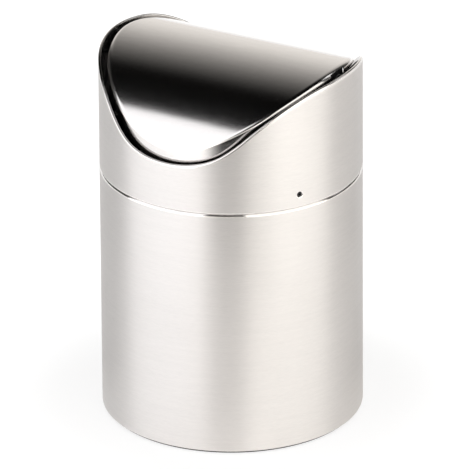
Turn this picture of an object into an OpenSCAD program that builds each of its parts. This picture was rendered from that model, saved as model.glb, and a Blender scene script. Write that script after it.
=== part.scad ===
// Countertop trash can with a swing lid.
// Millimetres, +Z up. The origin is at the centre of the base, on the surface it stands on.
// The lid swings about X, so the low sides of the hood's rim face -Y and +Y.

/* [Body] */
// Outer diameter of the body and of the hood
body_d = 120; // [114:1:128]
// Height of the hood's foot above the surface
seam_h = 119.3; // [95:0.1:140]
// Sheet thickness of the body and the hood
wall = 0.6; // [0.5:0.1:0.8]
// Outer radius of the shoulder at the body's mouth
shoulder_r = 2; // [1.4:0.1:2.4]
// Width of the flat lip round the mouth, inside the shoulder
lip_w = 0.8; // [0.6:0.1:1.2]
// Height of the lip's top above the hood's foot
lip_rise = 0.2; // [0.1:0.05:0.4]
// Outer radius of the curl at the body's lower edge
curl_r = 1.2; // [0.9:0.1:1.8]

/* [Base] */
// Height of the body's lower edge above the surface
standoff = 1.0; // [0.6:0.1:2]
// Height of the foot ring, up to the floor plate
foot_h = 3.2; // [2.4:0.1:4]
// Radial width of the foot ring
foot_w = 6.5; // [4:0.5:12]
// Radius of the foot ring's lower edges
foot_edge_r = 0.6; // [0.3:0.1:0.8]
// Height of the floor plate's upturned flange, with the plate
floor_flange_h = 7; // [4:0.5:12]

/* [Hood rim] */
// Height of the rim's two peaks above the hood's foot
hood_h = 55.7; // [54:0.1:66]
// Radius of the rim's crown arc, seen along the lid's axis
rim_crown_r = 146; // [120:1:180]
// Angle to which the crown arc reaches on each side
rim_crown_a = 7.4; // [6:0.1:9]
// Radius of the arc between the crown and the flank
rim_turn_r = 43.5; // [40:0.5:48]
// Slope of the straight flank
rim_flank_a = 56; // [52:0.5:58]
// Length of the straight flank
rim_flank_l = 9.2; // [6:0.1:11]
// Radius of the hollow arc at the foot of the flank
rim_foot_r = 26.5; // [22:0.5:36]
// Height of the hem folded in along the rim
hem_h = 2.0; // [1.4:0.1:2.4]
// Thickness that the hem adds inside the wall
hem_t = 0.7; // [0.5:0.1:0.9]

/* [Coupling ring] */
// Height of the ring's band inside the hood, above the lip
ring_h = 12.3; // [10:0.1:15]
// Wall of the band
ring_t = 2.0; // [1.6:0.1:2.4]
// Wall of the plug
plug_t = 1.5; // [1.2:0.1:2]
// Depth of the plug below the lip
plug_h = 10.2; // [7:0.1:14]
// Thickness of the web that joins the band and the plug
ring_web_t = 2.4; // [1.8:0.1:3]
// Lead-in chamfer at the plug's lower edge
plug_lead = 0.8; // [0.4:0.1:1.2]

/* [Rivets] */
// Number of rivets that hold the ring in the hood
rivet_n = 3; // [2:1:4]
// Direction of the first rivet, turned from the front low side
rivet_a = 60; // [0:5:120]
// Height of the rivets above the hood's foot
rivet_rise = 5.9; // [4.5:0.1:9]
// Radius of a rivet's shank
rivet_r = 0.9; // [0.7:0.05:1.1]
// Radius of the dimple in the hood at its mouth
dimple_r = 1.5; // [1.3:0.05:1.8]
// Depth of a rivet's head below the hood's surface
rivet_sink = 0.2; // [0.1:0.05:0.3]

/* [Lid] */
// Gap between the lid and the hem at the pivots
lid_gap = 3.0; // [2.8:0.1:3.6]
// Gap between the lid and the hem at the low front and back
low_gap = 1.9; // [1.8:0.1:2.4]
// Distance past the lid's middle from which the arc of each flank is struck
flank_shift = 2.0; // [1.6:0.2:2.6]
// Radius of the lid's arc, seen along its axis
lid_arc_r = 70; // [66:0.5:76]
// Height of the lid's crown above the rim's peaks
lid_rise = 1.0; // [0.5:0.1:2]
// Sheet thickness of the lid
lid_t = 0.6; // [0.5:0.1:0.8]
// Distance of the skirt's lower edge from the rim's line, square to it
skirt_drop = 3.0; // [2.4:0.1:3.2]
// The same beside the notches, where the skirt is deeper and meets the stops
lug_drop = 5.3; // [4.8:0.1:5.8]
// Half width of the deeper part, its notch included
lug_w = 12; // [10:0.5:14]
// Half width of the notch in the skirt round each pivot
notch_w = 6.2; // [5.8:0.1:7.5]

/* [Pivot] */
// Depth of the lid's axis below the rim's peaks
pivot_drop = 5.0; // [4.4:0.1:5.4]
// Radius of the screw's shoulder
shoulder_screw_r = 1.75; // [1.5:0.05:2]
// Radius of the screw's thread
thread_r = 1.25; // [1:0.05:1.4]
// Radius of the screw's head
head_r = 2.8; // [2.4:0.1:3.2]
// Thickness of the screw's head
head_t = 1.6; // [1.2:0.1:2]
// Width of the slot in the screw's head
slot_w = 0.7; // [0.5:0.1:1]
// Depth of that slot
slot_depth = 0.8; // [0.5:0.1:1]
// Radius of the boss that the screw is driven into
nut_r = 3.0; // [2.6:0.1:3.4]
// Length of that boss
nut_l = 2.0; // [1.6:0.1:2.4]
// Thickness of the washer
washer_t = 0.6; // [0.4:0.1:0.8]
// Radius of the washer
washer_r = 3.0; // [2.6:0.1:3.4]
// Wall of the nylon bush
bush_t = 0.7; // [0.5:0.05:0.9]
// Thickness of the bush's flange
bush_flange_t = 0.7; // [0.5:0.1:0.9]
// Radius of the bush's flange
bush_flange_r = 3.4; // [3.1:0.1:3.8]

/* [Brackets] */
// Thickness of the bracket in the hood
bracket_t = 0.8; // [0.6:0.1:1]
// Half width of that bracket
bracket_w = 7; // [5:0.5:9]
// Gap between the bracket and the hem above it
bracket_gap = 0.6; // [0.4:0.1:0.9]
// Depth of the stop's upper face below the axis
stop_drop = 7; // [6.6:0.1:8]
// Half width of the stop
stop_w = 2; // [1.5:0.1:2.2]
// Thickness of the stop
stop_t = 1.2; // [0.8:0.1:1.6]
// Length by which the stop reaches past the inside of the lid's skirt
stop_reach = 0.5; // [0.2:0.1:1]
// Thickness of the ear under the lid
ear_t = 0.8; // [0.6:0.1:1]
// Half width of the ear, and its radius round the axis
ear_w = 5; // [4.4:0.1:5.4]
// Length of the ear's foot along the underside of the lid
ear_foot_l = 8; // [6:0.5:12]

/* [Fits] */
// Gap between parts that are welded or pressed together
seat_gap = 0.05; // [0.03:0.01:0.08]
// Running clearance between the bush and the screw's shoulder, on the radius
run_gap = 0.05; // [0.03:0.01:0.08]
// Play of the lid along its axis, at the washer
end_play = 0.1; // [0.05:0.05:0.2]
// Gap between the screw's head and the ear
head_gap = 0.3; // [0.2:0.05:0.4]
// Gap between the plug and the mouth, and between the foot ring and the curl
loose_gap = 0.3; // [0.25:0.05:0.4]

/* [Hidden] */
$fn = 96;

steel = [0.80, 0.79, 0.77];
blackened = [0.12, 0.12, 0.12];
black = [0.09, 0.09, 0.09];
nylon = [0.10, 0.10, 0.10];

// Overlap that joins the pieces of one solid, and by which cutters run past what they cut
eps = 0.2;
// Largest step between the points of an arc in the rim's outline, in degrees
arc_step = 3.5;

body_r = body_d / 2;
inner_r = body_r - wall;
lip_z = seam_h + lip_rise;
rim_top = seam_h + hood_h;
mouth_r = body_r - shoulder_r - lip_w;
curl_end_r = body_r - curl_r;

plug_r = mouth_r - loose_gap;
plug_in_r = plug_r - plug_t;
ring_r = inner_r - seat_gap;
rivet_z = seam_h + rivet_rise;

// Plan radii of the hem's inside and of the lid's skirt
hem_in_r = inner_r - hem_t;
lid_r = hem_in_r - lid_gap;
lid_in_r = lid_r - lid_t;
lid_low_r = hem_in_r - low_gap;
lid_top = rim_top + lid_rise;
arc_z = lid_top - lid_arc_r;
pivot_z = rim_top - pivot_drop;
bracket_top = rim_top - hem_h - bracket_gap;

// Stations along the axis, from the hood's wall inwards
bracket_out_r = inner_r - seat_gap;
bracket_in_r = bracket_out_r - bracket_t;
nut_out_x = sqrt(bracket_in_r * bracket_in_r - nut_r * nut_r) - seat_gap;
nut_in_x = nut_out_x - nut_l;
washer_in_x = nut_in_x - washer_t;
bush_out_x = washer_in_x - end_play;
ear_out_x = bush_out_x - bush_flange_t;
ear_in_x = ear_out_x - ear_t;
head_out_x = ear_in_x - head_gap;
head_in_x = head_out_x - head_t;
screw_tip_x = bracket_out_r - seat_gap;
bush_in_r = shoulder_screw_r + run_gap;
bush_r = bush_in_r + bush_t;

// Centres and joints of the rim's arcs in the YZ plane, for the +Y side
crown_c = [0, rim_top - rim_crown_r];
turn_c = crown_c + (rim_crown_r - rim_turn_r) * up(rim_crown_a);
flank_end = turn_c + rim_turn_r * up(rim_flank_a) + rim_flank_l * along(rim_flank_a);
foot_c = flank_end + rim_foot_r * up(rim_flank_a);

// Unit vectors square to a line that falls at angle a, and along it
function up(a) = [sin(a), cos(a)];
function along(a) = [cos(a), -sin(a)];

// Points on an arc between two angles from +Z, with both ends
function arc(c, r, a0, a1) =
    let (n = ceil(abs(a1 - a0) / arc_step)) [for (i = [0 : n]) c + r * up(a0 + (a1 - a0) * i / n)];

// Region under the rim's line, moved inwards by inset, from the surface up
module under_rim(inset) {
    side_y = body_r + eps;
    foot_end_a = asin((foot_c.x - side_y) / (rim_foot_r + inset));
    crown = arc(crown_c, rim_crown_r - inset, 0, rim_crown_a);
    turn = arc(turn_c, rim_turn_r - inset, rim_crown_a, rim_flank_a);
    foot = arc(foot_c, -rim_foot_r - inset, rim_flank_a, foot_end_a);
    // The turn's first point is the crown's last
    right = concat(crown, [for (i = [1 : len(turn) - 1]) turn[i]], foot, [[side_y, 0]]);
    left = [for (i = [len(right) - 1 : -1 : 1]) [-right[i].x, right[i].y]];
    polygon(concat(right, left));
}

// A YZ outline drawn out along X, right across the can
module along_x() {
    rotate([90, 0, 90]) linear_extrude(height = body_d + 2, center = true) children();
}

// A round bar on the lid's axis between two stations along X
module bar(r, x0, x1) {
    translate([x0, 0, pivot_z]) rotate([0, 90, 0]) cylinder(r = r, h = x1 - x0);
}

// Tube about Z between two radii and two heights
module tube(r_in, r_out, z0, z1) {
    difference() {
        translate([0, 0, z0]) cylinder(r = r_out, h = z1 - z0);
        translate([0, 0, z0 - eps]) cylinder(r = r_in, h = z1 - z0 + 2 * eps);
    }
}

// Copies for the +X end (0) and the -X end (1) of the axis
module at_end(end) {
    mirror([end, 0, 0]) children();
}

// Deep-drawn tube: shoulder and lip at the mouth, quarter-round curl at the foot
module body_shell() {
    color(steel) rotate_extrude() {
        translate([inner_r, standoff + curl_r]) square([wall, lip_z - shoulder_r - standoff - curl_r]);
        translate([mouth_r, lip_z - wall]) square([lip_w, wall]);
        intersection() {
            translate([body_r - shoulder_r, lip_z - shoulder_r]) difference() {
                circle(r = shoulder_r);
                circle(r = shoulder_r - wall);
            }
            translate([body_r - shoulder_r, lip_z - shoulder_r]) square(shoulder_r);
        }
        intersection() {
            translate([curl_end_r, standoff + curl_r]) difference() {
                circle(r = curl_r);
                circle(r = curl_r - wall);
            }
            translate([curl_end_r, standoff]) square(curl_r);
        }
    }
}

// Floor plate with an upturned flange that is welded inside the wall
module body_bottom() {
    r = inner_r - seat_gap;
    color(steel) {
        translate([0, 0, foot_h]) cylinder(r = r, h = wall);
        tube(r - wall, r, foot_h, foot_h + floor_flange_h);
    }
}

// Non-slip ring bonded under the floor plate; its lower edges are rounded
module foot_ring() {
    r = curl_end_r - loose_gap;
    color(black) rotate_extrude() {
        translate([r - foot_w, foot_edge_r]) square([foot_w, foot_h - foot_edge_r]);
        translate([r - foot_w + foot_edge_r, 0]) square([foot_w - 2 * foot_edge_r, foot_edge_r + eps]);
        for (edge = [r - foot_edge_r, r - foot_w + foot_edge_r])
            translate([edge, foot_edge_r]) circle(r = foot_edge_r);
    }
}

// Saddle-cut tube with a hem folded in along the cut, and a dimpled hole for each rivet
module hood_shell() {
    hole_r = rivet_r + seat_gap;
    color(steel) difference() {
        intersection() {
            tube(hem_in_r, body_r, seam_h, rim_top + eps);
            along_x() under_rim(0);
        }
        intersection() {
            translate([0, 0, seam_h - eps]) cylinder(r = inner_r, h = rim_top - seam_h);
            along_x() under_rim(hem_h);
        }
        at_rivets() rotate_extrude() polygon([
            [0, -wall], [hole_r, -wall], [hole_r, 0],
            [dimple_r, wall], [dimple_r, 2 * wall], [0, 2 * wall]]);
    }
}

// Turns +Z outwards at each rivet, with z = 0 at the inside of the hood's wall
module at_rivets() {
    for (i = [0 : rivet_n - 1])
        rotate([0, 0, rivet_a - 90 + i * 360 / rivet_n])
            translate([inner_r, 0, rivet_z]) rotate([0, 90, 0]) children();
}

// Moulded ring: a band inside the hood, and a plug that drops into the body's mouth
module coupling_ring() {
    color(black) difference() {
        rotate_extrude() polygon([
            [ring_r, lip_z], [ring_r, lip_z + ring_h],
            [ring_r - ring_t, lip_z + ring_h], [ring_r - ring_t, lip_z + ring_web_t],
            [plug_in_r, lip_z + ring_web_t], [plug_in_r, lip_z - plug_h],
            [plug_r - plug_lead, lip_z - plug_h], [plug_r, lip_z - plug_h + plug_lead],
            [plug_r, lip_z]]);
        at_rivets() translate([0, 0, -ring_t - wall]) cylinder(r = rivet_r + seat_gap, h = ring_t + 2 * wall);
    }
}

// Countersunk rivets through the hood's dimples into the ring
module ring_rivets() {
    head = wall - rivet_sink;
    color(blackened) at_rivets() {
        cylinder(r1 = rivet_r, r2 = rivet_r + (dimple_r - rivet_r) * head / wall - seat_gap, h = head);
        translate([0, 0, -ring_t]) cylinder(r = rivet_r, h = ring_t);
    }
}

// Curved plate welded inside the hood below each peak, with the lid's stop bent inwards
module pivot_bracket(end) {
    stop_z = pivot_z - stop_drop;
    color(blackened) at_end(end) {
        difference() {
            intersection() {
                tube(bracket_in_r, bracket_out_r, stop_z - stop_t, bracket_top);
                translate([0, -bracket_w, 0]) cube([body_r, 2 * bracket_w, rim_top]);
            }
            bar(thread_r + seat_gap, bracket_in_r - wall, body_r);
        }
        translate([lid_in_r - stop_reach, -stop_w, stop_z - stop_t])
            cube([bracket_in_r - lid_in_r + stop_reach + bracket_t / 2, 2 * stop_w, stop_t]);
    }
}
module pivot_bracket_right() pivot_bracket(0);
module pivot_bracket_left() pivot_bracket(1);

// Threaded boss on the bracket
module pivot_nut(end) {
    color(blackened) at_end(end) difference() {
        bar(nut_r, nut_in_x, nut_out_x);
        bar(thread_r + seat_gap, nut_in_x - eps, nut_out_x + eps);
    }
}
module pivot_nut_right() pivot_nut(0);
module pivot_nut_left() pivot_nut(1);

// Spacer washer between the boss and the bush
module pivot_washer(end) {
    color(blackened) at_end(end) difference() {
        bar(washer_r, washer_in_x, nut_in_x);
        bar(bush_in_r, washer_in_x - eps, nut_in_x + eps);
    }
}
module pivot_washer_right() pivot_washer(0);
module pivot_washer_left() pivot_washer(1);

// Shoulder screw, driven from inside the can
module pivot_screw(end) {
    color(blackened) at_end(end) {
        difference() {
            bar(head_r, head_in_x, head_out_x);
            translate([head_in_x - eps, -head_r, pivot_z - slot_w / 2])
                cube([slot_depth + eps, 2 * head_r, slot_w]);
        }
        bar(shoulder_screw_r, head_out_x - eps, nut_in_x);
        bar(thread_r, nut_in_x - eps, screw_tip_x);
    }
}
module pivot_screw_right() pivot_screw(0);
module pivot_screw_left() pivot_screw(1);

// Upright prism of the lid's plan, which is a little longer towards the low front and back
module lid_prism(inset, h) {
    intersection() {
        cylinder(r = lid_low_r - inset, h = h);
        translate([flank_shift, 0, 0]) cylinder(r = lid_r + flank_shift - inset, h = h);
        translate([-flank_shift, 0, 0]) cylinder(r = lid_r + flank_shift - inset, h = h);
    }
}

// Arched top and skirt in one sheet; the skirt is notched round each pivot
module lid_shell() {
    // The notch runs from below the skirt up to the sheet's underside at the notch's sides
    notch_z = rim_top - 2 * lug_drop;
    sheet_z = arc_z + sqrt(pow(lid_arc_r - lid_t, 2) - notch_w * notch_w);
    color(steel) difference() {
        intersection() {
            lid_prism(0, lid_top + eps);
            along_x() translate([0, arc_z]) circle(r = lid_arc_r);
            along_x() difference() {
                translate([-body_r, 0]) square([body_d, lid_top + eps]);
                under_rim(lug_drop);
            }
        }
        intersection() {
            lid_prism(lid_t, lid_top);
            along_x() translate([0, arc_z]) circle(r = lid_arc_r - lid_t);
        }
        for (side = [0, 1]) mirror([0, side, 0]) intersection() {
            along_x() under_rim(skirt_drop);
            translate([-body_r, lug_w, 0]) cube([body_d, body_r, lid_top]);
        }
        translate([-body_r, -notch_w, notch_z])
            cube([body_d, 2 * notch_w, sheet_z - notch_z]);
    }
}

// Ear welded under the crown: a plate square to the axis, and a foot that follows the lid
module lid_ear(end) {
    foot_r = lid_arc_r - lid_t - seat_gap;
    color(blackened) at_end(end) difference() {
        intersection() {
            along_x() translate([0, arc_z]) circle(r = foot_r);
            union() {
                translate([ear_in_x, -ear_w, pivot_z]) cube([ear_t, 2 * ear_w, lid_top - pivot_z]);
                bar(ear_w, ear_in_x, ear_out_x);
                difference() {
                    translate([ear_out_x - ear_foot_l, -ear_w, pivot_z])
                        cube([ear_foot_l, 2 * ear_w, lid_top - pivot_z]);
                    along_x() translate([0, arc_z]) circle(r = foot_r - ear_t);
                }
            }
        }
        bar(bush_r + seat_gap, ear_in_x - eps, ear_out_x + eps);
    }
}
module lid_ear_right() lid_ear(0);
module lid_ear_left() lid_ear(1);

// Flanged nylon bush, pressed into the ear from outside and running on the screw
module pivot_bush(end) {
    color(nylon) at_end(end) difference() {
        union() {
            bar(bush_r, ear_in_x, bush_out_x);
            bar(bush_flange_r, ear_out_x, bush_out_x);
        }
        bar(bush_in_r, ear_in_x - eps, bush_out_x + eps);
    }
}
module pivot_bush_right() pivot_bush(0);
module pivot_bush_left() pivot_bush(1);

body_shell();
body_bottom();
foot_ring();
hood_shell();
coupling_ring();
ring_rivets();
pivot_bracket_left();
pivot_bracket_right();
pivot_nut_left();
pivot_nut_right();
pivot_washer_left();
pivot_washer_right();
pivot_screw_left();
pivot_screw_right();
lid_shell();
lid_ear_left();
lid_ear_right();
pivot_bush_left();
pivot_bush_right();
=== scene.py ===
# A countertop trash can with a swing lid: its looks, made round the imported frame.
import math

import bmesh
import bpy
import numpy as np
from mathutils import Matrix, Vector


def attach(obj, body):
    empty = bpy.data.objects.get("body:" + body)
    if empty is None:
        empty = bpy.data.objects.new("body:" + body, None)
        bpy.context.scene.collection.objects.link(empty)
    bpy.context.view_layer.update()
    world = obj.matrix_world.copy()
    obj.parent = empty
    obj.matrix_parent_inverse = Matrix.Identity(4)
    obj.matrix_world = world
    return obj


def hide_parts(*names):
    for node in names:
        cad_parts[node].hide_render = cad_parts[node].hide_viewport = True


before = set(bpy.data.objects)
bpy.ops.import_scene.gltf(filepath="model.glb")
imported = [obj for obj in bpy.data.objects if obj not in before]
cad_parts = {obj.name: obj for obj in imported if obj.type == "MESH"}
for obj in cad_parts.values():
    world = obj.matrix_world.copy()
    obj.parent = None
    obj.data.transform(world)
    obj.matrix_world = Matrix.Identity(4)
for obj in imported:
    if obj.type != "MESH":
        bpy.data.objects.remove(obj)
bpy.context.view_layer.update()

# Camera
# A long lens from in front of the lid's low side, turned to the right and a little above.
# The can's axis stands slightly left of the middle, and the picture is rolled a trace.
mm = 0.001
view_turn = math.radians(29.08)
view_rise = math.radians(24.10)
view_roll = math.radians(-0.37)
view_away = 4000 * mm
view_aside = 1.522 * mm
aim_height = 82.48 * mm
focal_length = 670.3
sightline = Vector((
    -math.cos(view_rise) * math.sin(view_turn),
    math.cos(view_rise) * math.cos(view_turn),
    -math.sin(view_rise),
))
rightwards = Vector((math.cos(view_turn), math.sin(view_turn), 0))
upwards = rightwards.cross(sightline)


def in_scene(name, data):
    """A new object in the scene."""
    made = bpy.data.objects.new(name, data)
    bpy.context.scene.collection.objects.link(made)
    return made


lens = bpy.data.cameras.new("camera")
lens.sensor_width = 36
lens.lens = focal_length
camera = in_scene("camera", lens)
turned_view = Matrix((rightwards, upwards, -sightline)).transposed().to_4x4()
stand = Vector((0, 0, aim_height)) - view_away * sightline + view_aside * rightwards
camera.matrix_world = Matrix.Translation(stand) @ turned_view @ Matrix.Rotation(view_roll, 4, "Z")
bpy.context.scene.camera = camera
bpy.context.scene.view_settings.view_transform = "Standard"


# Studio
# A white table before a white backdrop, a tall softbox on each side of the camera, a fainter
# panel to the right, and darkness overhead. The steel mirrors all of this.
class Wire:
    """One output of a node. Sums and products of wires and numbers add Math nodes."""

    def __init__(self, graph, socket):
        self.graph = graph
        self.socket = socket

    def maths(self, operation, *values):
        """One Math node; the first value is usually this wire."""
        return self.graph.node("ShaderNodeMath", {"operation": operation}, values)

    def __add__(self, other):
        return self.maths("ADD", self, other)

    def __radd__(self, other):
        return self.maths("ADD", other, self)

    def __sub__(self, other):
        return self.maths("SUBTRACT", self, other)

    def __rsub__(self, other):
        return self.maths("SUBTRACT", other, self)

    def __mul__(self, other):
        return self.maths("MULTIPLY", self, other)

    def __rmul__(self, other):
        return self.maths("MULTIPLY", other, self)

    def __truediv__(self, other):
        return self.maths("DIVIDE", self, other)

    def step(self, low, high, to_low=0.0, to_high=1.0):
        """A smooth step from to_low at low to to_high at high."""
        span = {"interpolation_type": "SMOOTHSTEP"}
        return self.graph.node("ShaderNodeMapRange", span, [self, low, high, to_low, to_high])


class Graph:
    """A node tree, and the one way in which a node gets into it."""

    def __init__(self, tree):
        self.tree = tree
        tree.nodes.clear()

    def node(self, kind, settings=None, sockets=(), out=0):
        """Adds a node, sets it, fills its sockets, and gives back one output or several."""
        made = self.tree.nodes.new(kind)
        for name, value in (settings or {}).items():
            setattr(made, name, value)
        filled = sockets.items() if isinstance(sockets, dict) else enumerate(sockets)
        for key, value in filled:
            if isinstance(value, Wire):
                self.tree.links.new(value.socket, made.inputs[key])
            else:
                made.inputs[key].default_value = value
        if not made.outputs:
            return None
        if isinstance(out, tuple):
            return [Wire(self, made.outputs[key]) for key in out]
        return Wire(self, made.outputs[out])

    def vector(self, operation, vector_a, *vector_b, out="Vector"):
        """Maths on one vector or two: "Vector" gives a vector, and "Value" gives a number."""
        return self.node("ShaderNodeVectorMath", {"operation": operation}, [vector_a, *vector_b], out)

    def blend(self, share, colour_a, colour_b):
        """A colour between two, by a share from 0 to 1."""
        mix = {"data_type": "RGBA"}
        return self.node("ShaderNodeMix", mix, {0: share, 6: colour_a, 7: colour_b}, out=2)


def new_material(name):
    """An empty material and its graph."""
    material = bpy.data.materials.new(name)
    material.use_nodes = True
    return material, Graph(material.node_tree)


floor_reach = 4.0
floor_z = -0.05 * mm
floor_shown_white = 0.27
floor_white = 0.85
table_edge = 0.33
edge_blur = 0.03
full_glow = 0.92
white = (1, 1, 1, 1)
warm_white = (1, 0.955, 0.915, 1)
floor_mesh = bpy.data.meshes.new("floor")
floor_corners = [(-1, -1), (1, -1), (1, 1), (-1, 1)]
floor_points = [(x * floor_reach, y * floor_reach, floor_z) for x, y in floor_corners]
floor_mesh.from_pydata(floor_points, [], [(0, 1, 2, 3)])
floor = in_scene("floor", floor_mesh)
floor_paint, graph = new_material("floor_paint")


def level_way(turn):
    """The level direction from the can that is turned from the camera by turn degrees."""
    angle = view_turn + math.radians(turn)
    return math.sin(angle), -math.cos(angle), 0


towards_camera = level_way(0)
camera_ray, glossy_ray = graph.node("ShaderNodeLightPath", out=("Is Camera Ray", "Is Glossy Ray"))
spot = graph.node("ShaderNodeTexCoord", out="Object")
nearness = graph.vector("LENGTH", spot, out="Value")
ahead = graph.vector("DOT_PRODUCT", spot, towards_camera, out="Value") / nearness
# Past the table's front edge the floor is dark, and only the steel shows it
darkwards = graph.vector("DOT_PRODUCT", spot, level_way(7), out="Value")
past_edge = darkwards.step(table_edge - edge_blur, table_edge + edge_blur)
off_table = past_edge * (darkwards / nearness).step(0.84, 0.98)
on_table = 1 - off_table
whiteness = camera_ray * floor_shown_white + (1 - camera_ray) * (on_table * floor_white)
floor_colour = graph.blend(whiteness, (0, 0, 0, 1), white)
painted = graph.node("ShaderNodeBsdfDiffuse", sockets={"Color": floor_colour})
# The glow brings the floor to white round the can's shadow. In the steel it is brighter in
# front of the can than behind it, brightens outwards, and is warmer towards the right
shown_glow = nearness.step(0.07, 0.16, 0.77, 1.0)
near_glow = ahead.step(-0.5, 0.2, 0.30, 0.43)
front_glow = ahead.step(0.3, 0.9) * nearness.step(0.08, 0.3, 0.0, 0.16)
far_glow = (full_glow - near_glow) * nearness.step(0.3, 1.0)
mirrored_glow = on_table * (near_glow + front_glow + far_glow)
glow = camera_ray * shown_glow + glossy_ray * mirrored_glow
warmwards = graph.vector("DOT_PRODUCT", spot, level_way(50), out="Value")
warmth = (1 - camera_ray) * (warmwards / nearness).step(-0.4, 0.7)
glow_tint = graph.blend(warmth, white, warm_white)
lit = graph.node("ShaderNodeEmission", sockets={"Color": glow_tint, "Strength": glow})
floor_surface = graph.node("ShaderNodeAddShader", sockets=[painted, lit])
graph.node("ShaderNodeOutputMaterial", sockets=[floor_surface])
floor_mesh.materials.append(floor_paint)

# The room is white behind the can, dim elsewhere and darker upwards, and white to the camera.
# A low band of fill light stands in the camera's own direction, below the camera
dark_level = 0.004
side_level = 0.08
fill_level = 1.45
room_white = (1, 0.96, 0.91, 1)
room = bpy.data.worlds.new("room")
room.use_nodes = True
bpy.context.scene.world = room
graph = Graph(room.node_tree)
direction = graph.node("ShaderNodeTexCoord", out="Generated")
height = graph.node("ShaderNodeSeparateXYZ", sockets=[direction], out="Z")
rise = height.maths("ARCSINE", height)
front = graph.vector("DOT_PRODUCT", direction, towards_camera, out="Value")
heading = front / rise.maths("COSINE", rise)
wall_level = rise.step(math.radians(4), math.radians(64), full_glow, dark_level)
behind = heading.step(-0.78, -0.96, side_level, 1.0)
camera_ray = graph.node("ShaderNodeLightPath", out="Is Camera Ray")
fill = heading.step(0.80, 0.92) * rise.step(math.radians(7), math.radians(14), fill_level, 0.0)
level = (wall_level * behind + fill) * (1 - camera_ray) + camera_ray
tint = graph.blend(camera_ray, room_white, white)
background = graph.node("ShaderNodeBackground", sockets={"Color": tint, "Strength": level})
graph.node("ShaderNodeOutputWorld", sockets=[background])


def softbox(name, turn, half_angle, away, low, high, level, colour=(1, 1, 1)):
    """An upright softbox that faces the can, turned from the camera by turn degrees.

    It spans half_angle degrees to each side of that direction, away metres from the can.
    """
    width = 2 * away * math.tan(math.radians(half_angle))
    lamp = bpy.data.lights.new(name, "AREA")
    lamp.shape = "RECTANGLE"
    lamp.size = width
    lamp.size_y = high - low
    lamp.energy = level * math.pi * width * (high - low)
    lamp.color = colour
    light = in_scene(name, lamp)
    x, y, _ = level_way(turn)
    light.location = (away * x, away * y, (low + high) / 2)
    light.rotation_euler = (math.radians(90), 0, view_turn + math.radians(turn))
    light.visible_camera = False
    return light


softbox("softbox_left", turn=-59, half_angle=35.5, away=0.9, low=0.01, high=1.65, level=1.36,
        colour=(0.99, 0.985, 1))
softbox("softbox_right", turn=49.3, half_angle=37.3, away=0.9, low=0.01, high=1.50, level=1.37,
        colour=(1, 0.98, 0.93))
softbox("side_panel", turn=112, half_angle=11, away=0.9, low=0.50, high=1.30, level=1.0)
# A ceiling panel that lights the matt pieces and isn't mirrored in the steel
ceiling = softbox("ceiling_panel", turn=0, half_angle=26, away=1.2, low=0, high=1.2, level=1.6)
ceiling.location = (0, 0, 1.3)
ceiling.rotation_euler = (0, 0, 0)
ceiling.visible_glossy = False

# Body
# A deep-drawn tube of 0.6 mm stainless steel, brushed all round, with a rounded shoulder
# and a narrow lip at its mouth, and its lower edge is turned in round a small radius.
wall_r = 60.0
sheet = 0.6
seam_z = 119.3
lip_z = seam_z + 0.2
mouth_r = 57.2
foot_z = 1.0
foot_in_r = 58.7
steel_warm = (0.80, 0.779, 0.764)
shell_grain = (380.0, 380.0, 5200.0)
polished_roughness = 0.16
sharp_turn = 35


def grain_noise(graph, place, scale, detail):
    """Noise on Object coordinates, stretched by its scale along each axis, from 0 to 1."""
    spread = graph.vector("MULTIPLY", place, scale)
    return graph.node("ShaderNodeTexNoise", sockets={"Vector": spread, "Scale": 1.0, "Detail": detail})


def shade(colour, share):
    """A colour made darker or lighter, with full opacity."""
    return tuple(share * part for part in colour) + (1,)


def steel(name, colour, roughness, grain_scale, band_scale, anisotropy, turn, depth):
    """Brushed steel: fine grain, faint wider bands, and a little haze from handling.

    The grain ends where the piece is marked as polished, on bends and pressed places. The
    depth of the grain is in millimetres.
    """
    material, graph = new_material(name)
    place = graph.node("ShaderNodeTexCoord", out="Object")
    grain = grain_noise(graph, place, grain_scale, 3.0).step(0.25, 0.75)
    bands = grain_noise(graph, place, band_scale, 2.0).step(0.3, 0.7)
    haze = grain_noise(graph, place, (34.0, 34.0, 26.0), 3.0).step(0.4, 0.75)
    tint = graph.blend(grain * 0.75 + bands * 0.25, shade(colour, 0.945), shade(colour, 1.045))
    polish = graph.node("ShaderNodeAttribute", {"attribute_name": "polished"}, out="Fac")
    brushed = roughness * (0.9 + grain * 0.2 + (bands - 0.5) * 0.04 + haze * 0.05)
    rough = brushed * (1 - polish) + polish * polished_roughness
    relief = graph.node("ShaderNodeBump", sockets={
        "Strength": 0.5,
        "Distance": depth * mm,
        "Height": grain * (1 - polish),
    })
    surface = graph.node("ShaderNodeBsdfPrincipled", sockets={
        "Base Color": tint,
        "Metallic": 1.0,
        "Roughness": rough,
        "Anisotropic": anisotropy,
        "Anisotropic Rotation": turn,
        "Normal": relief,
    })
    graph.node("ShaderNodeOutputMaterial", sockets=[surface])
    return material


def finish_mesh(mesh):
    """Merges doubles, drops loose points, points the faces outwards and shades them smooth."""
    work = bmesh.new()
    work.from_mesh(mesh)
    bmesh.ops.remove_doubles(work, verts=work.verts, dist=0.001 * mm)
    loose = [point for point in work.verts if not point.link_faces]
    bmesh.ops.delete(work, geom=loose, context="VERTS")
    bmesh.ops.recalc_face_normals(work, faces=work.faces)
    work.to_mesh(mesh)
    work.free()
    mesh.shade_smooth()
    mesh.set_sharp_from_angle(angle=math.radians(sharp_turn))


def as_plain_mesh(piece):
    """Applies a piece's modifiers to its mesh."""
    bpy.context.view_layer.update()
    depsgraph = bpy.context.evaluated_depsgraph_get()
    applied = bpy.data.meshes.new_from_object(piece.evaluated_get(depsgraph))
    piece.modifiers.clear()
    piece.data = applied
    applied.name = piece.name


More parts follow.
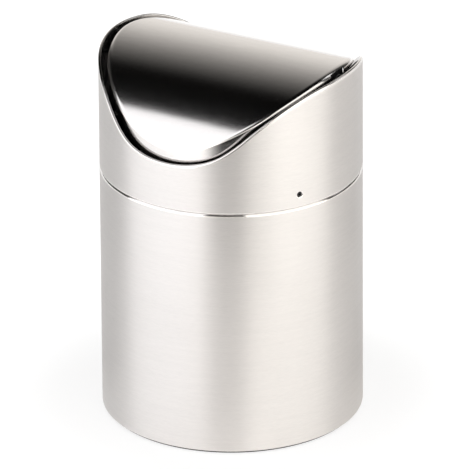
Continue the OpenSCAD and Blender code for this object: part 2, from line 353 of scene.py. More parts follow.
def mark_polished(mesh, share_at):
    """Writes how polished each point is, from its radius and height in mm and turn in degrees."""
    marks = mesh.attributes.new("polished", "FLOAT", "POINT")
    for point, mark in zip(mesh.vertices, marks.data):
        x, y, z = point.co / mm
        mark.value = share_at(math.hypot(x, y), z, math.degrees(math.atan2(x, -y)) % 360)


def new_tree(name, inputs, result):
    """An empty geometry node tree with named inputs and one result, and its graph."""
    tree = bpy.data.node_groups.new(name, "GeometryNodeTree")
    for title, kind in inputs:
        tree.interface.new_socket(name=title, in_out="INPUT", socket_type=f"NodeSocket{kind}")
    tree.interface.new_socket(name=result, in_out="OUTPUT", socket_type="NodeSocketGeometry")
    return tree, Graph(tree)


def close_tree(graph, shape, finish):
    """Ends a tree with real meshes in place of instances, in one material."""
    whole = graph.node("GeometryNodeRealizeInstances", sockets=[shape])
    finished = graph.node("GeometryNodeSetMaterial", sockets={"Geometry": whole, "Material": finish})
    graph.node("NodeGroupOutput", sockets=[finished])


def run_tree(piece, tree, given):
    """Runs a tree on a piece, with its inputs given by name, and applies it to the mesh."""
    modifier = piece.modifiers.new(tree.name, "NODES")
    modifier.node_group = tree
    for item in tree.interface.items_tree:
        if item.name in given:
            modifier[item.identifier] = given[item.name]
    as_plain_mesh(piece)
    finish_mesh(piece.data)


def turning_tree():
    """Geometry nodes that round a section's corners and turn it about Z."""
    tree, graph = new_tree("turned_section", (
        ("Section", "Geometry"),
        ("Steps Round", "Int"),
        ("Steps In A Corner", "Int"),
        ("Path Radius", "Float"),
        ("Finish", "Material"),
    ), "Piece")
    inputs = graph.node("NodeGroupInput", out=(0, 1, 2, 3, 4))
    section, round_steps, corner_steps, path_r, finish = inputs
    corner = graph.node("GeometryNodeInputNamedAttribute", {"data_type": "FLOAT"}, {"Name": "corner"})
    outline = graph.node("GeometryNodeMeshToCurve", sockets=[section])
    outline = graph.node("GeometryNodeFilletCurve", {"mode": "POLY"}, {
        "Curve": outline,
        "Count": corner_steps,
        "Radius": corner,
    })
    # The section is moved back by the path's radius, so it keeps its own distance from Z
    inwards = graph.node("ShaderNodeCombineXYZ", sockets=[path_r * -1])
    outline = graph.node("GeometryNodeSetPosition", sockets={"Geometry": outline, "Offset": inwards})
    path = graph.node("GeometryNodeCurvePrimitiveCircle", {"mode": "RADIUS"}, {
        "Resolution": round_steps,
        "Radius": path_r,
    })
    swept = graph.node("GeometryNodeCurveToMesh", sockets={"Curve": path, "Profile Curve": outline})
    close_tree(graph, swept, finish)
    return tree


turning = turning_tree()
path_radius = 0.01


def turned(name, section, finish, round_steps, corner_steps=4):
    """A piece turned about Z from (radius, height, corner radius) in millimetres.

    A section that begins and ends on the axis is open there, and any other is a closed loop.
    """
    count = len(section)
    edges = [(i, i + 1) for i in range(count - 1)]
    if section[0][0] > 0:
        edges.append((count - 1, 0))
    mesh = bpy.data.meshes.new(name)
    mesh.from_pydata([(r * mm, -z * mm, 0) for r, z, _ in section], edges, [])
    corner = mesh.attributes.new("corner", "FLOAT", "POINT")
    corner.data.foreach_set("value", [radius * mm for _, _, radius in section])
    piece = in_scene(name, mesh)
    run_tree(piece, turning, {
        "Steps Round": round_steps,
        "Steps In A Corner": corner_steps,
        "Path Radius": path_radius,
        "Finish": finish,
    })
    return piece


body_steel = steel(
    "brushed_body_steel", colour=steel_warm, roughness=0.47, grain_scale=shell_grain,
    band_scale=(40.0, 40.0, 700.0), anisotropy=0.85, turn=0.25, depth=0.003)
wall_rows = (30.0, 60.0, 90.0)
body_shell = turned("body_tube", [
    (wall_r, foot_z, 1.2),
    *[(wall_r, z, 0.0) for z in wall_rows],
    (wall_r, lip_z, 2.0),
    (mouth_r, lip_z, 0.15),
    (mouth_r, lip_z - sheet, 0.15),
    (wall_r - sheet, lip_z - sheet, 1.4),
    *[(wall_r - sheet, z, 0.0) for z in reversed(wall_rows)],
    (wall_r - sheet, foot_z + sheet, 0.6),
    (foot_in_r, foot_z + sheet, 0.1),
    (foot_in_r, foot_z, 0.1),
], body_steel, round_steps=360, corner_steps=8)
shoulder_z = seam_z - 1.75
mark_polished(body_shell.data, lambda r, z, turn: 1.0 if z > shoulder_z else 0.0)
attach(body_shell, "body")
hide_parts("body_shell")

# Floor plate
# A shallow pressed pan of the same sheet with its flange turned up, spot-welded inside the
# tube just above the foot. It is the inside bottom of the can.
plate_z = 3.2
plate_top_z = plate_z + sheet
flange_z = 10.2
flange_r = 59.35
flange_in_r = flange_r - sheet
plate_rows = (0.0, 20.0, 40.0)
plate_steel = steel(
    "mill_finish_steel", colour=(0.60, 0.60, 0.59), roughness=0.38, grain_scale=(900.0, 90.0, 90.0),
    band_scale=(60.0, 12.0, 12.0), anisotropy=0.0, turn=0.0, depth=0.002)
body_bottom = turned("floor_plate", [
    *[(r, plate_top_z, 0.0) for r in plate_rows],
    (flange_in_r, plate_top_z, 0.9),
    (flange_in_r, flange_z, 0.2),
    (flange_r, flange_z, 0.2),
    (flange_r, plate_z, 1.5),
    *[(r, plate_z, 0.0) for r in reversed(plate_rows)],
], plate_steel, round_steps=180, corner_steps=6)
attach(body_bottom, "body")
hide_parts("body_bottom")


# Foot ring
# A black rubber ring bonded under the floor plate, so that the can doesn't slide or scratch.
# Its lower edges are rounded, and only a thin dark line of it shows.
def matt_black(name, colour, roughness, pore_scale, depth):
    """Moulded black rubber or plastic: fine pores, and dust-grey on the high spots."""
    material, graph = new_material(name)
    place = graph.node("ShaderNodeTexCoord", out="Object")
    pores = grain_noise(graph, place, (pore_scale, pore_scale, pore_scale), 4.0)
    patches = grain_noise(graph, place, (60.0, 60.0, 60.0), 3.0).step(0.35, 0.7)
    tint = graph.blend(pores * 0.6 + patches * 0.4, shade(colour, 0.8), shade(colour, 1.5))
    relief = graph.node("ShaderNodeBump", sockets={
        "Strength": 0.6,
        "Distance": depth * mm,
        "Height": pores,
    })
    surface = graph.node("ShaderNodeBsdfPrincipled", sockets={
        "Base Color": tint,
        "Roughness": roughness + (pores - 0.5) * 0.15 + patches * 0.06,
        "Normal": relief,
    })
    graph.node("ShaderNodeOutputMaterial", sockets=[surface])
    return material


foot_ring_r = 58.5
foot_ring_in_r = 52.0
foot_rubber = matt_black(
    "foot_rubber", colour=(0.028, 0.028, 0.029), roughness=0.72, pore_scale=3500.0, depth=0.02)
foot_ring = turned("foot_ring_rubber", [
    (foot_ring_in_r, 0.0, 0.6),
    (foot_ring_r, 0.0, 0.6),
    (foot_ring_r, plate_z, 0.15),
    (foot_ring_in_r, plate_z, 0.15),
], foot_rubber, round_steps=180, corner_steps=4)
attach(foot_ring, "body")
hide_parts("foot_ring")

# Hood
# A tube of the same steel whose top is cut to a saddle line, high over the lid's two pivots
# and low at the front and back. The edge is rolled over into a hem inside, and three
# rivet holes are dimpled into the wall near the foot.
rim_top = 175.0
crown_r = 146.0
crown_a = math.radians(7.4)
turn_r = 43.5
flank_a = math.radians(56.0)
flank_l = 9.2
hollow_r = 26.5
hem_depth = 2.0
hem_in_r = 58.7
rivet_z = 125.2
rivet_turns = (60.0, 180.0, 300.0)


def rim_height(y, inset=0.0):
    """Height of the saddle line at y, or of a line that runs inset below it, square to it."""
    y = np.abs(y)
    crown_z = rim_top - crown_r
    turn_y = (crown_r - turn_r) * math.sin(crown_a)
    turn_z = crown_z + (crown_r - turn_r) * math.cos(crown_a)
    flank_y = turn_y + turn_r * math.sin(flank_a)
    flank_z = turn_z + turn_r * math.cos(flank_a)
    end_y = flank_y + flank_l * math.cos(flank_a)
    end_z = flank_z - flank_l * math.sin(flank_a)
    hollow_y = end_y + hollow_r * math.sin(flank_a)
    hollow_z = end_z + hollow_r * math.cos(flank_a)
    crown = crown_z + np.sqrt(np.maximum((crown_r - inset) ** 2 - y**2, 0))
    turn = turn_z + np.sqrt(np.maximum((turn_r - inset) ** 2 - (y - turn_y) ** 2, 0))
    flank = flank_z - inset / math.cos(flank_a) - (y - flank_y) * math.tan(flank_a)
    hollow = hollow_z - np.sqrt(np.maximum((hollow_r + inset) ** 2 - (y - hollow_y) ** 2, 0))
    past_crown = (crown_r - inset) * math.sin(crown_a)
    past_turn = flank_y - inset * math.sin(flank_a)
    past_flank = end_y - inset * math.sin(flank_a)
    low_part = np.where(y <= past_flank, flank, hollow)
    high_part = np.where(y <= past_crown, crown, turn)
    return np.where(y <= past_turn, high_part, low_part)


def ring_piece(name, rows, finish, left_out, more_faces):
    """A piece from rows of points in millimetres, each a ring, with the last joined to the first.

    left_out holds the row and column of each quad that isn't made.
    """
    rows = np.array(rows)
    height, width = rows.shape[:2]
    faces = list(more_faces)
    for i in range(height):
        for j in range(width):
            if (i, j) in left_out:
                continue
            here = i * width
            above = (i + 1) % height * width
            right = (j + 1) % width
            faces.append((here + j, here + right, above + right, above + j))
    mesh = bpy.data.meshes.new(name)
    mesh.from_pydata((rows.reshape(-1, 3) * mm).tolist(), [], faces)
    mesh.materials.append(finish)
    finish_mesh(mesh)
    return in_scene(name, mesh)


# The wall is drawn in round each rivet hole by these depths at these distances from its middle
dimple_radii = [0.95, 1.2, 1.4, 1.5, 1.65, 1.9]
dimple_depths = [0.6, 0.34, 0.15, 0.085, 0.025, 0.0]
hole_r = dimple_radii[0]
dimple_r = dimple_radii[-1]

# The columns and rows run close together round each hole, and bend into circles there
ring_offsets = dimple_radii + [2.4, 3.2]
patch_r = ring_offsets[-1]
patch_lines = sorted([-r for r in ring_offsets] + [-0.6, -0.2, 0.2, 0.6] + ring_offsets)
column_step = 1.25
patch_reach = math.degrees(patch_r / wall_r) + 0.3


def from_rivet(turn):
    """How far a turn is from the nearest rivet's, in degrees."""
    return min(abs(turn - rivet_turn) for rivet_turn in rivet_turns)


columns = [turn for turn in np.arange(0, 360, column_step) if from_rivet(turn) > patch_reach]
for rivet_turn in rivet_turns:
    columns += [rivet_turn + math.degrees(line / wall_r) for line in patch_lines]
columns = np.radians(np.array(sorted(columns)))
hood_low = 129.4
level_rows = [seam_z + rise for rise in (0.28, 0.7, 1.4, 2.2)]
level_rows += [rivet_z + line for line in patch_lines]
level_rows.append(hood_low)

column_y = wall_r * np.cos(columns)
rim_z = rim_height(column_y)
along_wall = np.gradient(rim_z, wall_r * columns)
lean = np.sqrt(1 + along_wall**2)


def near_rivet(angle, z):
    """Offsets along the wall and up from the nearest rivet, in millimetres."""
    turns = np.radians(np.array(rivet_turns))
    away = angle - turns[int(np.argmin(np.abs(turns - angle)))]
    return away * wall_r, z - rivet_z


def dimpled(radius, z, inside=False):
    """One level ring of the wall, with the lines near a rivet drawn into circles round it."""
    ring = []
    for angle in columns:
        along, up = near_rivet(angle, z)
        reach = max(abs(along), abs(up))
        if reach > patch_r - 0.01 or reach < 0.01:
            ring.append((radius * math.sin(angle), -radius * math.cos(angle), z))
            continue
        if abs(along) >= abs(up):
            turn = math.pi / 4 * up / along + (0 if along > 0 else math.pi)
        else:
            turn = math.pi / 2 - math.pi / 4 * along / up + (0 if up > 0 else math.pi)
        share = min(1.0, max(0.0, (patch_r - reach) / (patch_r - dimple_r)))
        new_along = along + share * (reach * math.cos(turn) - along)
        new_up = up + share * (reach * math.sin(turn) - up)
        depth = 0.0 if inside else np.interp(reach, dimple_radii, dimple_depths)
        new_angle = angle + (new_along - along) / wall_r
        far = radius - depth
        ring.append((far * math.sin(new_angle), -far * math.cos(new_angle), z + new_up - up))
    return ring


def wall_ring(radius, heights):
    """One ring of the wall at a radius, with a height for each column."""
    heights = np.broadcast_to(heights, columns.shape)
    return np.stack([radius * np.sin(columns), -radius * np.cos(columns), heights], -1)


hem_mid_r = (wall_r + hem_in_r) / 2
hem_half = (wall_r - hem_in_r) / 2
roll_low = rim_z - hem_half * lean
hem_low = rim_z - hem_depth * lean
inner_r = wall_r - sheet
foot_r = 0.2
foot_eased = 0.06
hem_eased_up = 0.2
hem_eased_in = 0.15
# Up the outside, over the rolled rim, round the hem's edge and down the inside
hood_rows = [wall_ring(wall_r - foot_r * (1 - math.cos(a)), seam_z + foot_r * (1 - math.sin(a)))
             for a in np.radians([90, 60, 30])]
first_level = len(hood_rows)
hood_rows += [dimpled(wall_r, z) for z in level_rows]
for share in np.linspace(0, 1, 25)[1:]:
    hood_rows.append(wall_ring(wall_r, hood_low + share * (roll_low - hood_low)))
for a in np.radians(np.linspace(0, 180, 15)[1:]):
    roll_r = hem_mid_r + hem_half * math.cos(a)
    hood_rows.append(wall_ring(roll_r, roll_low + hem_half * lean * math.sin(a)))
hood_rows.append(wall_ring(hem_in_r, hem_low + hem_eased_up))
hood_rows.append(wall_ring(hem_in_r + hem_eased_in, hem_low))
hood_rows.append(wall_ring(inner_r, hem_low))
for share in np.linspace(0, 1, 13)[1:]:
    hood_rows.append(wall_ring(inner_r, hem_low + share * (hood_low - hem_low)))
first_inside = len(hood_rows) - 1
hood_rows[-1] = dimpled(inner_r, hood_low, inside=True)
hood_rows += [dimpled(inner_r, z, inside=True) for z in level_rows[-2::-1]]
hood_rows.append(wall_ring(inner_r, seam_z + foot_r))
hood_rows.append(wall_ring(inner_r + foot_eased, seam_z + foot_eased))
hood_rows.append(wall_ring(inner_r + foot_r, seam_z))

hood_width = len(columns)


def hole_span(values, middle, half):
    """Indices of the lines that cross a hole or bound it, in order."""
    return [i for i, value in enumerate(values) if abs(value - middle) <= half + 1e-6]


hole_levels = hole_span(level_rows, rivet_z, hole_r)
outer_level = [first_level + i for i in hole_levels]
inner_level = [first_inside + len(level_rows) - 1 - i for i in hole_levels]
# The quads in each hole are left out, and the hole gets a wall through the sheet
hole_quads = set()
hole_walls = []
for rivet_turn in rivet_turns:
    span = hole_span(columns * wall_r, math.radians(rivet_turn) * wall_r, hole_r)
    loop = [(0, j) for j in span]
    loop += [(i, span[-1]) for i in range(1, len(hole_levels))]
    loop += [(len(hole_levels) - 1, j) for j in span[-2::-1]]
    loop += [(i, span[0]) for i in range(len(hole_levels) - 2, 0, -1)]
    for (i0, j0), (i1, j1) in zip(loop, loop[1:] + loop[:1]):
        hole_walls.append((
            outer_level[i0] * hood_width + j0,
            outer_level[i1] * hood_width + j1,
            inner_level[i1] * hood_width + j1,
            inner_level[i0] * hood_width + j0,
        ))
    for j in span[:-1]:
        hole_quads.update((i, j) for i in outer_level[:-1])
        hole_quads.update((i, j) for i in inner_level[1:])

hood_steel = steel(
    "brushed_hood_steel", colour=steel_warm, roughness=0.47, grain_scale=shell_grain,
    band_scale=(40.0, 40.0, 660.0), anisotropy=0.85, turn=0.25, depth=0.003)
hood_shell = ring_piece("hood_tube", hood_rows, hood_steel, left_out=hole_quads, more_faces=hole_walls)
inside_r = wall_r - 0.3
rim_polished = 1.2
foot_polished = 0.3
dimple_polished = 1.7


def hood_polish(r, z, turn):
    """1 on the inside, the rolled rim, the foot's edge and the dimples, 0 on the brushed wall."""
    level = rim_height(r * math.cos(math.radians(turn)))
    along = math.radians(from_rivet(turn)) * wall_r
    pressed = math.hypot(along, z - rivet_z) < dimple_polished
    at_edge = z > level - rim_polished or z < seam_z + foot_polished
    return 1.0 if pressed or r < inside_r or at_edge else 0.0


mark_polished(hood_shell.data, hood_polish)
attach(hood_shell, "hood")
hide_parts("hood_shell")


# Coupling ring
# A black moulded ring riveted inside the hood's foot. Its lower part is a plug that drops
# into the body's mouth, so the hood sits centred and lifts straight off.
def cut(piece, cutters):
    """Cuts closed shapes out of a piece, and removes the shapes."""
    for cutter in cutters:
        modifier = piece.modifiers.new("cut", "BOOLEAN")
        modifier.operation = "DIFFERENCE"
        modifier.solver = "EXACT"
        modifier.object = cutter
    as_plain_mesh(piece)
    finish_mesh(piece.data)
    for cutter in cutters:
        bpy.data.objects.remove(cutter)


def bar(name, radius, low, high, place):
    """A short round bar along Z that is put in place by a matrix."""
    section = [(0, low, 0), (radius, low, 0.02), (radius, high, 0.02), (0, high, 0)]
    piece = turned(name, section, None, round_steps=48, corner_steps=1)
    piece.data.transform(place)
    return piece


def rivet_place(turn):
    """Puts +Z outwards at a rivet, with z = 0 at the inside of the hood's wall."""
    outwards = Matrix.Rotation(math.radians(90), 4, "Y")
    in_wall = Matrix.Translation((inner_r * mm, 0, rivet_z * mm))
    return Matrix.Rotation(math.radians(turn - 90), 4, "Z") @ in_wall @ outwards


ring_r = 59.35
ring_in_r = 57.35
ring_top_z = lip_z + 12.3
web_z = lip_z + 2.4
plug_r = 56.9
plug_in_r = 55.4
plug_low_z = lip_z - 10.2
plug_lead = 0.8
ring_plastic = matt_black(
    "ring_plastic", colour=(0.030, 0.030, 0.031), roughness=0.48, pore_scale=2600.0, depth=0.03)
coupling_ring = turned("coupling_ring_moulding", [
    (ring_r, lip_z, 0.25),
    (ring_r, ring_top_z, 0.4),
    (ring_in_r, ring_top_z, 0.6),
    (ring_in_r, web_z, 0.6),
    (plug_in_r, web_z, 0.5),
    (plug_in_r, plug_low_z, 0.3),
    (plug_r - plug_lead, plug_low_z, 0.15),
    (plug_r, plug_low_z + plug_lead, 0.3),
    (plug_r, lip_z, 0.3),
], ring_plastic, round_steps=240, corner_steps=4)
bores = [bar("rivet_bore", hole_r, -3.0, 1.0, rivet_place(turn)) for turn in rivet_turns]
cut(coupling_ring, bores)
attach(coupling_ring, "hood")
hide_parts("coupling_ring")


# Rivets
# Three small hollow rivets of blackened steel, whose black is also painted shade that keeps the
# rivet holes dark, sit a hair below the hood's surface in its dimples and hold the coupling
# ring. They are alike and stand at equal turns round the can.
def small_part_steel(name, colour, roughness):
    """Turned, headed or pressed steel: fine tool marks and a few duller spots."""
    material, graph = new_material(name)
    place = graph.node("ShaderNodeTexCoord", out="Object")
    marks = grain_noise(graph, place, (2500.0, 2500.0, 2500.0), 2.0)
    spots = grain_noise(graph, place, (420.0, 420.0, 420.0), 3.0).step(0.45, 0.7)
    clear = marks * 0.5 + (1 - spots) * 0.5
    tint = graph.blend(clear, shade(colour, 0.86), shade(colour, 1.05))
    relief = graph.node("ShaderNodeBump", sockets={
        "Strength": 0.4,
        "Distance": 0.004 * mm,
        "Height": marks,
    })
    surface = graph.node("ShaderNodeBsdfPrincipled", sockets={
        "Base Color": tint,
        "Metallic": 1.0,
        "Roughness": roughness + (marks - 0.5) * 0.08 + spots * 0.08,
        "Normal": relief,
    })
    graph.node("ShaderNodeOutputMaterial", sockets=[surface])
    return material


def rivet_ring_tree():
    """Geometry nodes that set a rivet at equal turns about Z."""
    tree, graph = new_tree("rivets_round", (
        ("Rivet", "Geometry"),
        ("Rivet Count", "Int"),
        ("First Turn", "Float"),
        ("Finish", "Material"),
    ), "Rivets")
    rivet, count, first, finish = graph.node("NodeGroupInput", out=(0, 1, 2, 3))
    points = graph.node("GeometryNodePoints", sockets={"Count": count})
    turn = first + graph.node("GeometryNodeInputIndex") * (2 * math.pi) / count
    around = graph.node("ShaderNodeCombineXYZ", sockets={"Z": turn})
    heads = graph.node("GeometryNodeInstanceOnPoints", sockets={
        "Points": points,
        "Instance": rivet,
        "Rotation": around,
    })
    close_tree(graph, heads, finish)
    return tree


# Near-black steel for the rivets, the pivot plates, screws, washers and bosses, and the lid's ears: a
# blackened finish, whose black is also painted shade that keeps the pivot notches and rivet holes dark
blackened_and_painted_shade = small_part_steel("blackened_and_painted_shade_steel", colour=(0.050, 0.050, 0.052), roughness=0.45)
# From the bottom of the hollow up to the flared head, and down the shank, with heights from
# the inside of the hood's wall
rivets = turned("ring_rivet_set", [
    (0.0, -1.2, 0.0),
    (0.5, -1.2, 0.1),
    (0.5, 0.28, 0.0),
    (0.66, 0.40, 0.1),
    (1.22, 0.40, 0.07),
    (0.9, 0.0, 0.15),
    (0.9, -2.0, 0.2),
    (0.0, -2.0, 0.0),
], blackened_and_painted_shade, round_steps=40, corner_steps=3)
rivets.data.transform(rivet_place(90))
run_tree(rivets, rivet_ring_tree(), {
    "Rivet Count": len(rivet_turns),
    "First Turn": math.radians(rivet_turns[0] - 90),
    "Finish": blackened_and_painted_shade,
})
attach(rivets, "hood")
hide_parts("ring_rivets")


# Pivot plates
# A curved plate is spot-welded inside the hood under each peak. It carries the pivot, and
# a tab bent out of its lower edge stops the lid. Blackened steel with broken edges, whose black
# is also painted shade that keeps the pivot notch dark.
def softened(name, node, finish, width):
    """A copy of a CAD node's mesh with its real edges rounded by a bevel, width in mm."""
    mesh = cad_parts[node].data.copy()
    mesh.name = name
    mesh.materials.clear()
    mesh.materials.append(finish)
    work = bmesh.new()
    work.from_mesh(mesh)
    bmesh.ops.remove_doubles(work, verts=work.verts, dist=0.001 * mm)
    bmesh.ops.dissolve_limit(work, angle_limit=math.radians(1), verts=work.verts, edges=work.edges)
    work.to_mesh(mesh)
    work.free()
    piece = in_scene(name, mesh)
    bevel = piece.modifiers.new("broken_edges", "BEVEL")
    bevel.width = width * mm
    bevel.segments = 3
    bevel.limit_method = "ANGLE"
    bevel.angle_limit = math.radians(40)
    as_plain_mesh(piece)
    finish_mesh(piece.data)
    return piece


ends = (("right", 1), ("left", -1))
for side, _ in ends:
    plate = softened(f"pivot_plate_{side}", f"pivot_bracket_{side}", blackened_and_painted_shade, 0.15)
    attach(plate, "hood")
    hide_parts(f"pivot_bracket_{side}")


# Pivot hardware
# At each peak a shoulder screw, driven from inside the can, runs through a nylon bush and
# a washer into a threaded boss on the plate. The lid turns on the screw's shoulder.
def axle_place(hand):
    """Turns +Z to the can's right (1) or left (-1) along the lid's axis."""
    return Matrix.Translation((0, 0, axle_z * mm)) @ Matrix.Rotation(hand * math.radians(90), 4, "Y")


axle_z = 170.0
# Places along the axle, from the can's middle outwards
screw_in = 52.32
head_out = 53.92
bush_in = 54.22
flange_in = 55.02
bush_out = 55.72
washer_in = 55.82
boss_in = 56.42
boss_out = 58.42
screw_out = 59.3
# Radii about the axle
thread_r = 1.25
thread_bore_r = 1.3
axle_r = 1.75
axle_bore_r = 1.8
sleeve_r = 2.5
head_r = 2.8
boss_r = 3.0
flange_out_r = 3.4
slot_width = 0.7
slot_depth = 0.8
slot_cutter_length = 8.0
slot_cutter_height = 2.0
# The bush is black as painted shade that keeps the pivot notch dark, where natural nylon would be pale
nylon = matt_black(
    "nylon_black_as_painted_shade", colour=(0.026, 0.026, 0.027), roughness=0.42, pore_scale=1800.0, depth=0.01)
for side, hand in ends:
    nut = turned(f"pivot_boss_{side}", [
        (thread_bore_r, boss_in, 0.15),
        (boss_r, boss_in, 0.25),
        (boss_r, boss_out, 0.2),
        (thread_bore_r, boss_out, 0.1),
    ], blackened_and_painted_shade, round_steps=64)
    washer = turned(f"pivot_spacer_{side}", [
        (axle_bore_r, washer_in, 0.1),
        (boss_r, washer_in, 0.15),
        (boss_r, boss_in, 0.15),
        (axle_bore_r, boss_in, 0.1),
    ], blackened_and_painted_shade, round_steps=64)
    bush = turned(f"pivot_sleeve_{side}", [
        (axle_bore_r, bush_in, 0.15),
        (sleeve_r, bush_in, 0.15),
        (sleeve_r, flange_in, 0.1),
        (flange_out_r, flange_in, 0.15),
        (flange_out_r, bush_out, 0.2),
        (axle_bore_r, bush_out, 0.15),
    ], nylon, round_steps=64)
    screw = turned(f"pivot_bolt_{side}", [
        (0.0, screw_in, 0.0),
        (head_r, screw_in, 0.45),
        (head_r, head_out, 0.15),
        (axle_r, head_out, 0.1),
        (axle_r, boss_in, 0.1),
        (thread_r, boss_in, 0.1),
        (thread_r, screw_out, 0.3),
        (0.0, screw_out, 0.0),
    ], blackened_and_painted_shade, round_steps=64)
    slot_box = bpy.data.meshes.new("slot_box")
    slot_size = Vector((slot_width, slot_cutter_length, slot_cutter_height)) * mm
    slot_middle = Vector((0, 0, screw_in + slot_depth - slot_cutter_height / 2)) * mm
    work = bmesh.new()
    bmesh.ops.create_cube(work, size=1.0)
    bmesh.ops.scale(work, verts=work.verts, vec=slot_size)
    bmesh.ops.translate(work, verts=work.verts, vec=slot_middle)
    work.to_mesh(slot_box)
    work.free()
    cut(screw, [in_scene("slot_box", slot_box)])
    for piece, node, body, slot_name in (
        (nut, "pivot_nut", "hood", "fastener_steel"),
        (washer, "pivot_washer", "hood", "fastener_steel"),
        (bush, "pivot_bush", "lid", "nylon"),
        (screw, "pivot_screw", "hood", "fastener_steel"),
    ):
        piece.data.transform(axle_place(hand))
        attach(piece, body)
        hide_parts(f"{node}_{side}")

# Lid
# One sheet of nearly mirror-bright steel, rolled to an arch along the pivot axis, with its
# edge bent down into a skirt that follows the hood's saddle line. The skirt is notched round
# each pivot, and deeper beside the notches, where it meets the stops.

# Seen from above, each end is an arc that is struck from flank_shift past the middle and crosses
# the axis at lid_r, and the front and back are arcs of lid_r_across round the middle
lid_r = 55.7
lid_t = 0.6
arch_r = 70.0
arch_z = 106.0
lid_r_across = 56.8
flank_shift = 2.0
bend_r = 2.5
skirt_inset = 3.0
lug_inset = 5.3
lug_half = 12.0
notch_half = 6.2
lid_columns = 288
lid_angles = np.radians(np.arange(lid_columns) * 360 / lid_columns)


def plan_of(angles):
    """The cosine of each column's angle, the radius of its flank's arc, and its plan radius."""
    across = np.cos(angles)
    sideways = np.abs(np.sin(angles))
    flank_r = np.sqrt((lid_r + flank_shift) ** 2 - (flank_shift * across) ** 2) - flank_shift * sideways
    return across, flank_r, np.minimum(flank_r, lid_r_across)


# A column is moved to each edge of the notches, and one to each side of the lugs' edges
lug_edge = 0.03
across, flank_r, plan_r = plan_of(lid_angles)
for half in (notch_half, lug_half - lug_edge, lug_half + lug_edge):
    # The angle at which the flank's arc has this y
    side_x = math.sqrt((lid_r + flank_shift) ** 2 - half**2) - flank_shift
    edge_angle = math.atan2(side_x, half)
    for edge in (edge_angle, math.pi - edge_angle, math.pi + edge_angle, 2 * math.pi - edge_angle):
        distance = np.abs(lid_angles - edge)
        if half > lug_half:
            distance[np.abs(across) * plan_r < lug_half] = math.inf
        lid_angles[int(np.argmin(distance))] = edge
    across, flank_r, plan_r = plan_of(lid_angles)
# The two arcs meet at a slight corner, and the sheet is eased over it
ease = 1.5
eased = np.clip(1 - np.abs(flank_r - lid_r_across) / ease, 0, 1)
plan_r = plan_r - eased**2 * ease / 8


def lid_ring(radius, heights):
    """One ring of the lid; radius and heights may differ from column to column."""
    x = radius * np.sin(lid_angles)
    y = -radius * np.cos(lid_angles)
    return np.stack([x, y, np.broadcast_to(heights, x.shape)], -1)


def arch_height(radius, drop):
    """Height of the arch, or of a surface drop below it, at a plan radius on each column."""
    return arch_z + np.sqrt((arch_r - drop) ** 2 - (radius * across) ** 2)


def arch_slope(radius):
    """Angle by which the arch falls outwards at a plan radius on each column."""
    return np.arctan(radius * across**2 / np.sqrt(arch_r**2 - (radius * across) ** 2))


# The bend starts where its arc touches the arch, which a few rounds find
bend_at = plan_r - bend_r
for _ in range(8):
    bend_at = plan_r - bend_r + bend_r * np.sin(arch_slope(bend_at))
bend_slope = arch_slope(bend_at)
bend_mid_z = arch_height(bend_at, 0) - bend_r * np.cos(bend_slope)
skirt_z = rim_height(plan_r * across, skirt_inset)
skirt_lean = np.sqrt(1 + np.gradient(skirt_z, lid_r * lid_angles) ** 2)
on_lug = np.abs(plan_r * across) < lug_half
skirt_z = np.where(on_lug, rim_height(plan_r * across, lug_inset), skirt_z)
edge_half = lid_t / 2
edge_z = skirt_z + edge_half * skirt_lean

# Shares of the arch's radius, closer together towards the bend
spokes = np.array([
    0.06, 0.12, 0.19, 0.26, 0.33, 0.4, 0.47, 0.54, 0.61, 0.68, 0.74, 0.8, 0.85, 0.9, 0.94, 0.97, 0.99,
])
lid_rows = [lid_ring(share * bend_at, arch_height(share * bend_at, 0)) for share in spokes]
bend_steps = 8
notch_up = 4


def bend_row(share, radius):
    """One ring of the bend between the arch and the skirt."""
    turn = bend_slope + share * (math.pi / 2 - bend_slope)
    return lid_ring(plan_r - bend_r + radius * np.sin(turn), bend_mid_z + radius * np.cos(turn))


# Down the bend and the skirt's outside, round its edge, and up the inside to the crown. The
# notches end some rows up the bend
lid_rows += [bend_row(share, bend_r) for share in np.linspace(0, 1, bend_steps + 1)]
outer_end = len(lid_rows) - 1 - notch_up
for share in np.linspace(0, 1, 6)[1:]:
    lid_rows.append(lid_ring(plan_r, bend_mid_z + share * (edge_z - bend_mid_z)))
for a in np.radians(np.linspace(0, 180, 7)[1:]):
    radius = plan_r - edge_half + edge_half * math.cos(a)
    lid_rows.append(lid_ring(radius, edge_z - edge_half * skirt_lean * math.sin(a)))
for share in np.linspace(1, 0, 6)[1:]:
    lid_rows.append(lid_ring(plan_r - lid_t, bend_mid_z + share * (edge_z - bend_mid_z)))
inner_end = len(lid_rows) - 1 + notch_up
lid_rows += [bend_row(share, bend_r - lid_t) for share in np.linspace(1, 0, bend_steps + 1)[1:]]
under_at = plan_r - bend_r + (bend_r - lid_t) * np.sin(bend_slope)
under_z = bend_mid_z + (bend_r - lid_t) * np.cos(bend_slope)
# Under the arch the height is blended into that of the bend's inside
under_step = under_z - arch_height(under_at, lid_t)
for share in spokes[::-1]:
    under = arch_height(share * under_at, lid_t) + share**6 * under_step
    lid_rows.append(lid_ring(share * under_at, under))

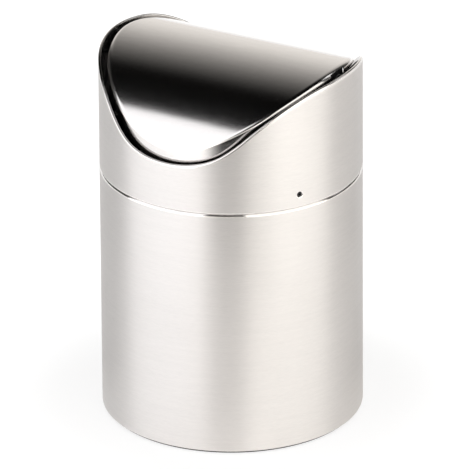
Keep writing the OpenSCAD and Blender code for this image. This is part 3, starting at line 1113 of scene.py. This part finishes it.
# The crown's two middle points close the rings, and the notches get an edge and two ends
last_row = len(lid_rows) - 1
crown_points = [[0, 0, arch_z + arch_r], [0, 0, arch_z + arch_r - lid_t]]
lid_points = np.concatenate([np.array(lid_rows).reshape(-1, 3), crown_points])
top_point = len(lid_rows) * lid_columns
off_axis = np.abs(plan_r * across)
notched = np.minimum(off_axis, np.roll(off_axis, -1)) < notch_half - 0.01


def lid_point(row, column):
    """Index of a point of the lid's rings."""
    return row * lid_columns + column


lid_faces = []
for j in range(lid_columns):
    right = (j + 1) % lid_columns
    lid_faces.append((top_point, j, right))
    lid_faces.append((top_point + 1, lid_point(last_row, right), lid_point(last_row, j)))
    for i in range(last_row):
        if notched[j] and outer_end <= i < inner_end:
            continue
        here = lid_point(i, 0)
        below = lid_point(i + 1, 0)
        lid_faces.append((here + j, below + j, below + right, here + right))
    if notched[j]:
        # The notch's upper edge, through the sheet
        lid_faces.append((
            lid_point(outer_end, j),
            lid_point(inner_end, j),
            lid_point(inner_end, right),
            lid_point(outer_end, right),
        ))
    if notched[j] != notched[j - 1]:
        # The notch's upright edge, from the outer rows to the inner ones. Its last face has
        # three corners, because both sides end in the same row
        for i in range((inner_end - outer_end) // 2):
            rows = (outer_end + i, outer_end + i + 1, inner_end - i - 1, inner_end - i)
            lid_faces.append(tuple(lid_point(row, j) for row in dict.fromkeys(rows)))

lid_steel = steel(
    "lid_bright_steel", colour=(0.80, 0.782, 0.770), roughness=0.155,
    grain_scale=(900.0, 3600.0, 3600.0), band_scale=(120.0, 420.0, 420.0),
    anisotropy=0.0, turn=0.0, depth=0.00018)
lid_mesh = bpy.data.meshes.new("lid_sheet")
lid_mesh.from_pydata((lid_points * mm).tolist(), [], lid_faces)
lid_mesh.materials.append(lid_steel)
finish_mesh(lid_mesh)
lid_shell = in_scene("lid_sheet", lid_mesh)
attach(lid_shell, "lid")
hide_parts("lid_shell")

# Lid ears
# A small folded ear is spot-welded under the crown at each end. Its upright plate holds the
# nylon bush in which the pivot screw turns.
for side, _ in ends:
    ear = softened(f"lid_lug_{side}", f"lid_ear_{side}", blackened_and_painted_shade, 0.12)
    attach(ear, "lid")
    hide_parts(f"lid_ear_{side}")
